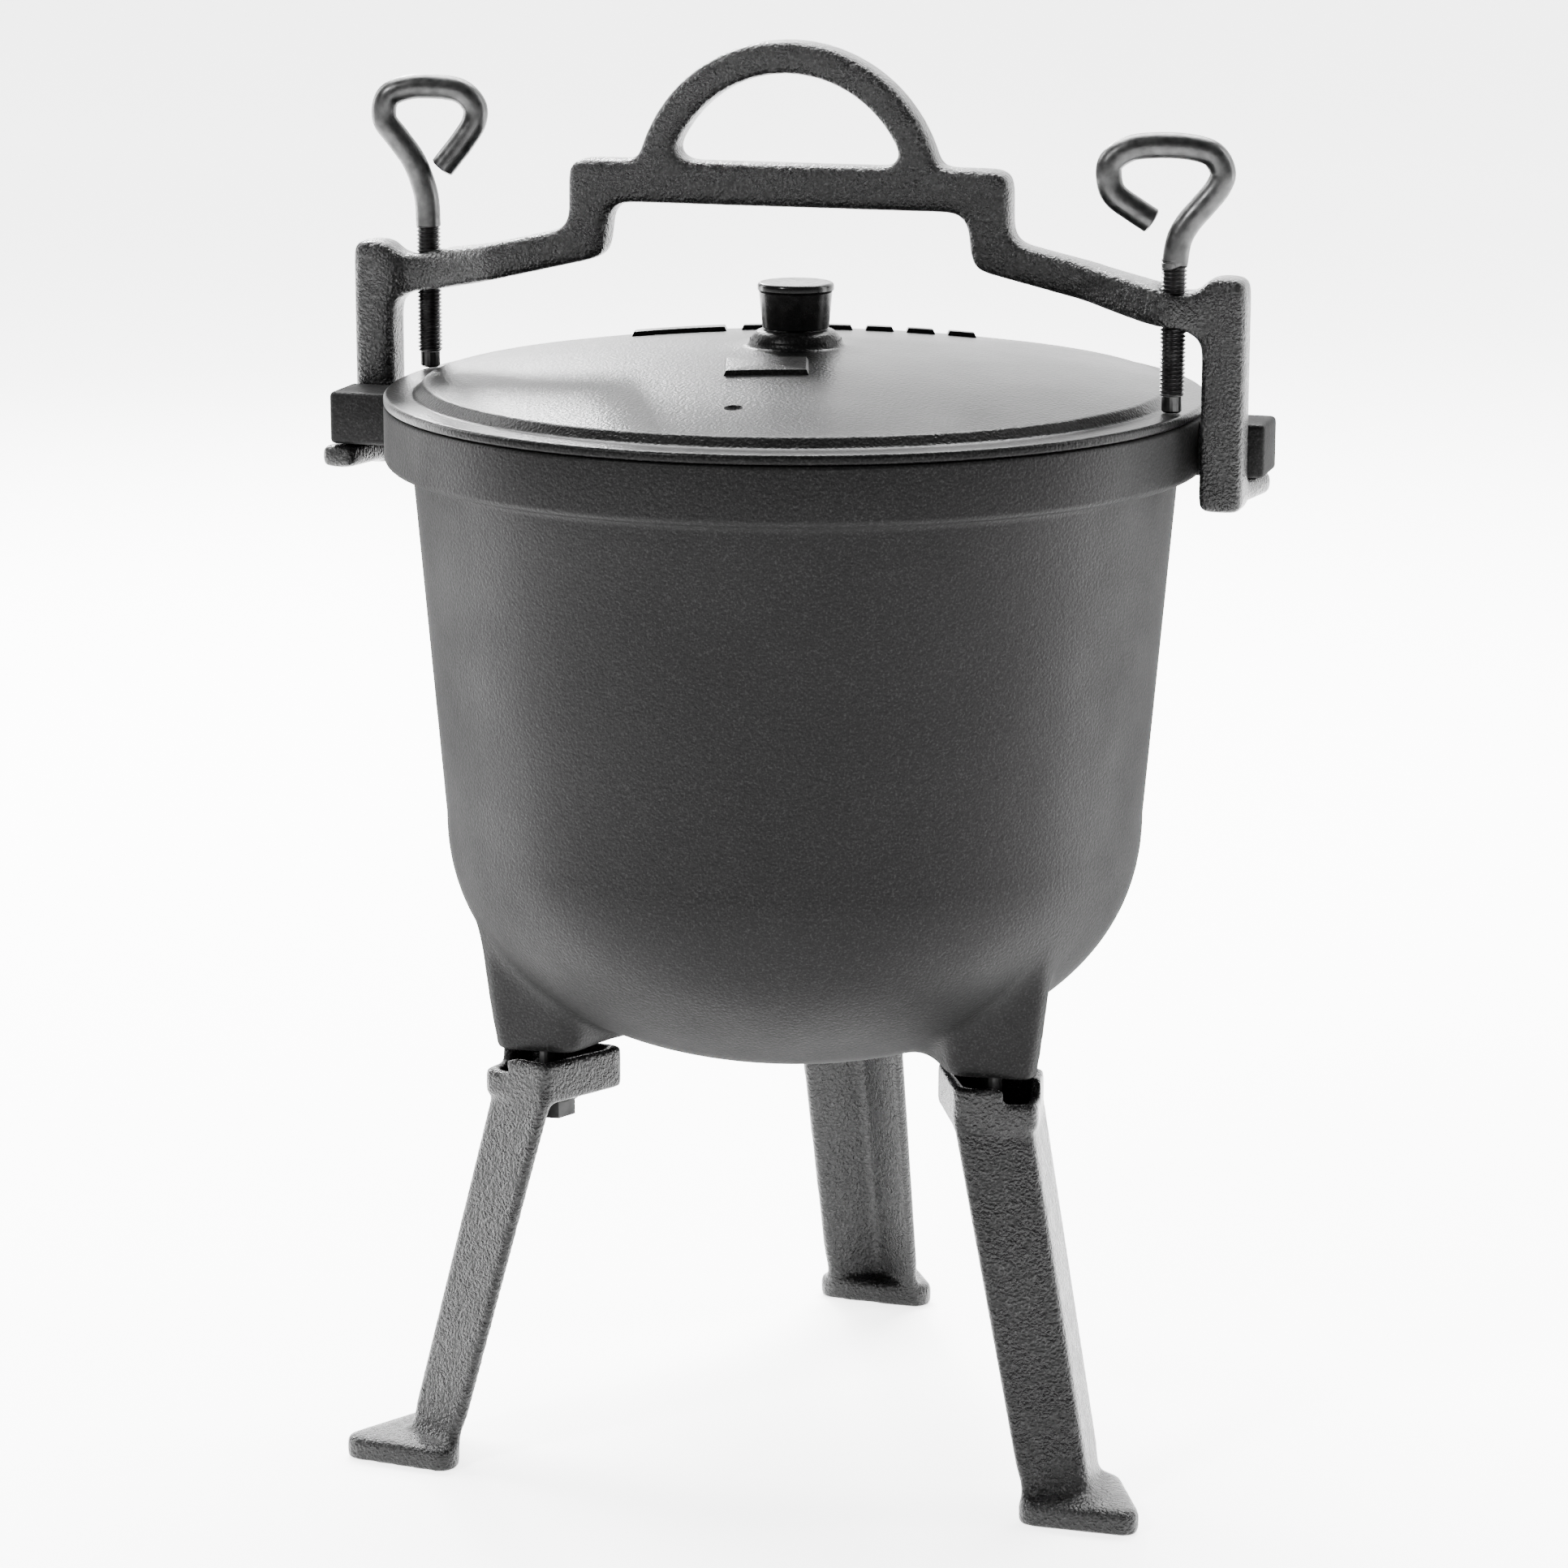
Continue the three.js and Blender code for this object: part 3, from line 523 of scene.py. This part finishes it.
def make_pot():
    shell = lathe("shell", pot_profile(), 256)
    lugs = []
    for side in (1, -1):
        ends_x = sorted((AXIS.x + side * (RIM_R - 5 * MM), AXIS.x + side * (RIM_R + LUG_REACH)))
        ends_y = sorted((AXIS.y - side * LUG_NEAR, AXIS.y + side * LUG_FAR))
        low = (ends_x[0], ends_y[0], LUG_LOW_Z)
        high = (ends_x[1], ends_y[1], LUG_TOP_Z)
        lugs.append(rounded_block("lug", low, high, 1.6 * MM))
    pot = join([shell, boss_patch(), *lugs], "pot_casting")
    pot.data.shade_smooth()
    finish_piece(pot, POT_ENAMEL, "pot", "pot_enamel", "pot_body")


# ---------------------------------------------------------------- lid
LID_TURN = 15.75
LID_STEP_H = 3.6 * MM
LID_RISE = 14 * MM
LID_BOSS_R = 14.5 * MM
LID_BOSS_TOP = LID_HIGH.z


def dome(r):
    """The dome's height at radius r."""
    edge = RIM_R - FLANGE_W - 3.5 * MM
    return FLANGE_Z + LID_STEP_H + (LID_RISE - LID_STEP_H) * (1 - (r / edge) ** 2)


def lid_profile():
    edge = RIM_R - FLANGE_W
    points = [(0, LID_BOSS_TOP, 0), (LID_BOSS_R, LID_BOSS_TOP, 4.4 * MM)]
    points.append((LID_BOSS_R, dome(LID_BOSS_R) + 0.4 * MM, 2.4 * MM))
    outer = fillet(points + [(LID_BOSS_R + 10 * MM, dome(LID_BOSS_R + 10 * MM), 0)], 8)
    first = LID_BOSS_R + 12 * MM
    last = edge - 5 * MM
    outer += [(first + (last - first) * k / 40, dome(first + (last - first) * k / 40)) for k in range(41)]
    step = [
        (last, dome(last), 0),
        (edge - 1.6 * MM, dome(edge - 1.6 * MM) + 0.1 * MM, 2.2 * MM),
        (edge + 1.4 * MM, FLANGE_Z, 2.4 * MM),
        (RIM_R, FLANGE_Z, 1.3 * MM),
        (RIM_R, LID_LOW.z, 0.9 * MM),
        (NECK_R - WALL_T - 2 * MM, LID_LOW.z, 1 * MM),
        (edge - 9 * MM, dome(edge - 9 * MM) - 4 * MM, 0),
    ]
    outer += fillet(step, 6)[1:]
    inside_r = edge - 9 * MM
    outer += [(inside_r * (1 - k / 16), dome(inside_r * (1 - k / 16)) - 4 * MM) for k in range(1, 17)]
    return list(reversed(outer))


def on_lid(x, y):
    a = math.radians(LID_TURN)
    return AXIS.x + x * math.cos(a) - y * math.sin(a), AXIS.y + x * math.sin(a) + y * math.cos(a)


def raised_bar(x, y, length, width, proud=1.3 * MM, slope=1.1 * MM):
    """A low bar with sloped sides that follows the dome."""
    steps = 12
    rows = []
    for inset, lift in ((0, -0.6 * MM), (0, 0.0), (slope, proud), (slope + 0.5 * MM, proud + 0.1 * MM)):
        ring = []
        hl, hw = length / 2 - inset, width / 2 - inset
        corners = [(-hl, -hw), (hl, -hw), (hl, hw), (-hl, hw)]
        for (ax, ay), (bx, by) in zip(corners, corners[1:] + corners[:1]):
            for k in range(steps):
                px = x + ax + (bx - ax) * k / steps
                py = y + ay + (by - ay) * k / steps
                ring.append((*on_lid(px, py), dome(math.hypot(px, py)) + lift))
        rows.append(ring)
    count = len(rows[0])
    verts = [p for ring in rows for p in ring]
    faces = []
    for i in range(len(rows) - 1):
        for k in range(count):
            n = (k + 1) % count
            faces.append((i * count + k, i * count + n, (i + 1) * count + n, (i + 1) * count + k))
    verts.append((*on_lid(x, y), dome(math.hypot(x, y)) + proud + 0.1 * MM))
    base = (len(rows) - 1) * count
    for k in range(count):
        faces.append((base + k, base + (k + 1) % count, len(verts) - 1))
    return mesh_object("bar", verts, faces)


MARKS = [(-9, -40, 26, 21), (-38, 62, 31, 19)] + [(-13 + 13.5 * k, 64, 9.5, 11.5) for k in range(6)]
DIMPLE = (-18.5, -89, 3.5)


def make_lid():
    lid = lathe("lid_casting", lid_profile(), 256)
    x, y, r = (v * MM for v in DIMPLE)
    px, py = on_lid(x, y)
    bm = bmesh.new()
    bmesh.ops.create_uvsphere(bm, u_segments=32, v_segments=20, radius=r)
    ball = bpy.data.meshes.new("ball")
    bm.to_mesh(ball)
    bm.free()
    cutter = bpy.data.objects.new("cutter", ball)
    cutter.location = (px, py, dome(math.hypot(x, y)) + r * 0.55)
    SCENE.collection.objects.link(cutter)
    cut = lid.modifiers.new("dimple", "BOOLEAN")
    cut.operation = "DIFFERENCE"
    cut.object = cutter
    applied(lid)
    bpy.data.objects.remove(cutter)
    bars = []
    for bx, by, length, width in MARKS:
        bars.append(raised_bar(bx * MM, by * MM, length * MM, width * MM, 1.5 * MM, 0.7 * MM))
    lid = join([lid, *bars], "lid_casting")
    lid.data.shade_smooth()
    lid.data.set_sharp_from_angle(angle=math.radians(38))
    finish_piece(lid, LID_ENAMEL, "lid", "lid_enamel", "lid")


def make_knob():
    low, high = KNOB_LOW.z, KNOB_HIGH.z
    top_r = (KNOB_HIGH.x - KNOB_LOW.x) / 2
    foot_r = top_r - 1.6 * MM
    points = [
        (0, low, 0),
        (foot_r, low, 0.7 * MM),
        (top_r - 0.5 * MM, high - 3.0 * MM, 0.5 * MM),
        (top_r, high - 2.4 * MM, 0.4 * MM),
        (top_r, high, 1.2 * MM),
        (top_r - 4 * MM, high - 0.2 * MM, 1 * MM),
        (0, high - 0.3 * MM, 0),
    ]
    knob = lathe("knob_moulding", fillet(points, 6), 96)
    finish_piece(knob, BAKELITE, "lid", "bakelite", "lid_knob")


# ---------------------------------------------------------------- yoke
def make_yoke():
    yoke = voxel(copy_of("clamp_yoke", "yoke_casting"), YOKE_VOXEL)
    relax(yoke, YOKE_SMOOTHING)
    decimate(yoke, KEPT_FACES)
    finish_piece(yoke, CASTING, "yoke", "cast_paint", "clamp_yoke")


# ---------------------------------------------------------------- legs
def make_legs():
    for side in LEG_ANGLES:
        node = "leg_" + side
        leg = copy_of(node, "leg_casting_" + side)
        leg = voxel(leg, LEG_VOXEL)
        z = coordinates(leg.data)[:, 2] / MM
        at_foot = np.clip(1 - np.abs(z - 11) / 6, 0, 1)
        relax(leg, LEG_SMOOTHING)
        relax(leg, FOOT_SMOOTHING, at_foot)
        decimate(leg, KEPT_FACES)
        finish_piece(leg, CASTING, "pot", "cast_paint", node)


# ---------------------------------------------------------------- clamp screws
ROD_R = 4 * MM
PITCH = 1.25 * MM
THREAD_DEPTH = 0.75 * MM
THREAD_L = 41 * MM
EYE_TURN = math.radians(15.75)
EYES = {
    "left": (
        (0, 47), (-0.3, 54), (-1.6, 60), (-4.6, 67.5), (-9.5, 74.5),
        (-13.6, 80.5), (-12.5, 87.5), (-6.5, 90.4), (1.5, 90.9), (10.5, 89.6),
        (15.3, 85), (15.2, 79.5), (11.5, 73.5), (7.2, 68), (4.8, 65),
    ),
    "right": (
        (0, 45), (1.3, 53), (4.2, 58.5), (8.6, 63.7), (12.8, 69), (14.1, 73.8), (11, 79), (4, 81.2),
        (-5.5, 81.7), (-14, 80.7), (-19.8, 76.6), (-20.1, 70.5), (-18, 66.3), (-12.6, 62.4), (-7.4, 59),
    ),
}


def smooth_path(points, per=10):
    """A Catmull-Rom curve through points."""
    p = [Vector(q) for q in points]
    p = [2 * p[0] - p[1], *p, 2 * p[-1] - p[-2]]
    out = []
    for i in range(1, len(p) - 2):
        for k in range(per):
            t = k / per
            a = 2 * p[i]
            b = (p[i + 1] - p[i - 1]) * t
            c = (2 * p[i - 1] - 5 * p[i] + 4 * p[i + 1] - p[i + 2]) * t * t
            d = (3 * p[i] - p[i - 1] - 3 * p[i + 1] + p[i + 2]) * t**3
            out.append((a + b + c + d) / 2)
    out.append(p[-2])
    return out


def rod(name, path, radius, sides=28):
    """A round rod along a path, its ends slightly rounded."""
    verts, faces, rings = [], [], []
    across = Vector((-math.sin(EYE_TURN), math.cos(EYE_TURN), 0))
    for i, point in enumerate(path):
        along = (path[min(i + 1, len(path) - 1)] - path[max(i - 1, 0)]).normalized()
        other = along.cross(across).normalized()
        ring = []
        for k in range(sides):
            a = 2 * math.pi * k / sides
            ring.append(len(verts))
            verts.append(point + (across * math.cos(a) + other * math.sin(a)) * radius)
        rings.append(ring)
    for low, high in zip(rings, rings[1:]):
        for k in range(sides):
            n = (k + 1) % sides
            faces.append((low[k], low[n], high[n], high[k]))
    for ring, point, back in ((rings[0], path[0], path[1]), (rings[-1], path[-1], path[-2])):
        out = (point - back).normalized()
        inner = [len(verts) + k for k in range(sides)]
        for k in ring:
            verts.append(point + (Vector(verts[k]) - point) * 0.86 + out * 0.5 * MM)
        for k in range(sides):
            n = (k + 1) % sides
            quad = (ring[k], ring[n], inner[n], inner[k])
            faces.append(quad if ring is rings[-1] else tuple(reversed(quad)))
        faces.append(tuple(inner) if ring is rings[-1] else tuple(reversed(inner)))
    return mesh_object(name, verts, faces)


def thread(name, x, y, low, high):
    """A right-hand helical thread as rings whose radius follows the helix, running out at both ends."""
    sides, step = 40, 0.104 * MM
    count = int((high - low) / step)
    verts, faces = [], []
    for i in range(count + 1):
        z = low + (high - low) * i / count
        fade = min(1, (z - low) / (0.8 * MM), (high - z) / (1.5 * MM))
        for k in range(sides):
            a = 2 * math.pi * k / sides
            phase = ((z - low) / PITCH - k / sides) % 1
            tooth = abs(2 * phase - 1)
            cut = THREAD_DEPTH * min(1, max(0, 1.15 * tooth - 0.05))
            lead = 0.35 * MM * max(0, 1 - (z - low) / (0.6 * MM))
            r = ROD_R - cut * max(fade, 0.15) - lead
            verts.append((x + r * math.cos(a), y + r * math.sin(a), z))
    for i in range(count):
        for k in range(sides):
            n = (k + 1) % sides
            faces.append((i * sides + k, i * sides + n, (i + 1) * sides + n, (i + 1) * sides + k))
    faces.append(tuple(reversed(range(sides))))
    faces.append(tuple(range(count * sides, (count + 1) * sides)))
    return mesh_object(name, verts, faces)


def make_screws():
    for side, points in EYES.items():
        low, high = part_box("screw_tip_" + side)
        x, y = (low.x + high.x) / 2, (low.y + high.y) / 2
        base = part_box("clamp_screw_" + side)[0].z
        c, s = math.cos(EYE_TURN), math.sin(EYE_TURN)
        start = base + THREAD_L - 0.4 * MM
        path = [Vector((x, y, start))]
        path += smooth_path([(x + a * MM * c, y + a * MM * s, FLANGE_Z + h * MM) for a, h in points])
        shank = rod("rod", path, ROD_R)
        screw = join([shank, thread("thread", x, y, base, start + 1 * MM)], "eye_screw_" + side)
        screw.data.shade_smooth()
        screw.data.set_sharp_from_angle(angle=math.radians(45))
        finish_piece(screw, SCREW_STEEL, "screw_" + side, "screw_steel", "clamp_screw_" + side)


# ---------------------------------------------------------------- carried CAD nodes
def carry(node, material, bevel):
    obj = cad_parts[node]
    obj.data.materials.clear()
    obj.data.materials.append(material)
    mod = obj.modifiers.new("edges", "BEVEL")
    mod.width = bevel
    mod.segments = 3
    mod.limit_method = "ANGLE"
    mod.angle_limit = math.radians(35)


def carry_nodes():
    for side in LEG_ANGLES:
        carry("leg_bolt_" + side, BOLT_STEEL, 0.3 * MM)
        carry("leg_washer_" + side, BOLT_STEEL, 0.15 * MM)
    for side in EYES:
        carry("screw_tip_" + side, SCREW_STEEL, 0.15 * MM)
    carry("knob_bolt", BOLT_STEEL, 0.15 * MM)
    carry("knob_washer", BOLT_STEEL, 0.1 * MM)
    carry("knob_insert", BRASS, 0.1 * MM)


# ---------------------------------------------------------------- stage and light
SHEET_GLOW = 3.4
WORLD_STRENGTH = 0.35
# Name, place, width, height and power of each lamp, all aimed at the pot.
LAMPS = (
    ("top", (-0.3, 1.0, 2.1), 2.0, 1.2, 330),
    ("left", (-1.6, 0.5, 0.7), 0.5, 1.8, 60),
    ("right", (1.5, 0.6, 0.7), 0.5, 1.8, 50),
    ("key", (-1.0, -1.6, 1.8), 0.3, 0.3, 60),
    ("glint", (-0.9, 1.6, 1.2), 0.3, 0.3, 60),
)


def make_stage():
    mat, _, bsdf = shader("paper", (0.95, 0.95, 0.95), 0.9, specular=0.1)
    bsdf.inputs["Emission Color"].default_value = (1, 1, 1, 1)
    bsdf.inputs["Emission Strength"].default_value = SHEET_GLOW
    half, curve, back, height = 6, 2.0, 4, 6
    turns = np.linspace(0, math.pi / 2, 16)
    rows = [(-half, 0)]
    rows += [(back + curve * math.sin(a), curve - curve * math.cos(a)) for a in turns]
    rows.append((back + curve, height))
    verts, faces = [], []
    for y, z in rows:
        verts += [(-half, y, z), (half, y, z)]
    for i in range(len(rows) - 1):
        faces.append((2 * i, 2 * i + 1, 2 * i + 3, 2 * i + 2))
    stage = mesh_object("stage_sheet", verts, faces)
    stage.data.materials.append(mat)


def area(name, at, to, width, height, power):
    data = bpy.data.lights.new(name, "AREA")
    data.shape = "RECTANGLE"
    data.size = width
    data.size_y = height
    data.energy = power
    light = bpy.data.objects.new(name, data)
    light.location = at
    light.rotation_euler = (Vector(to) - Vector(at)).to_track_quat("-Z", "Y").to_euler()
    SCENE.collection.objects.link(light)


def make_light():
    world = bpy.data.worlds.new("studio")
    world.use_nodes = True
    background = world.node_tree.nodes["Background"]
    background.inputs["Color"].default_value = (1, 1, 1, 1)
    background.inputs["Strength"].default_value = WORLD_STRENGTH
    SCENE.world = world
    middle = (0, 0, 0.25)
    for name, at, width, height, power in LAMPS:
        area(name, at, middle, width, height, power)


make_pot()
make_lid()
make_knob()
make_yoke()
make_legs()
make_screws()
carry_nodes()
make_stage()
make_light()
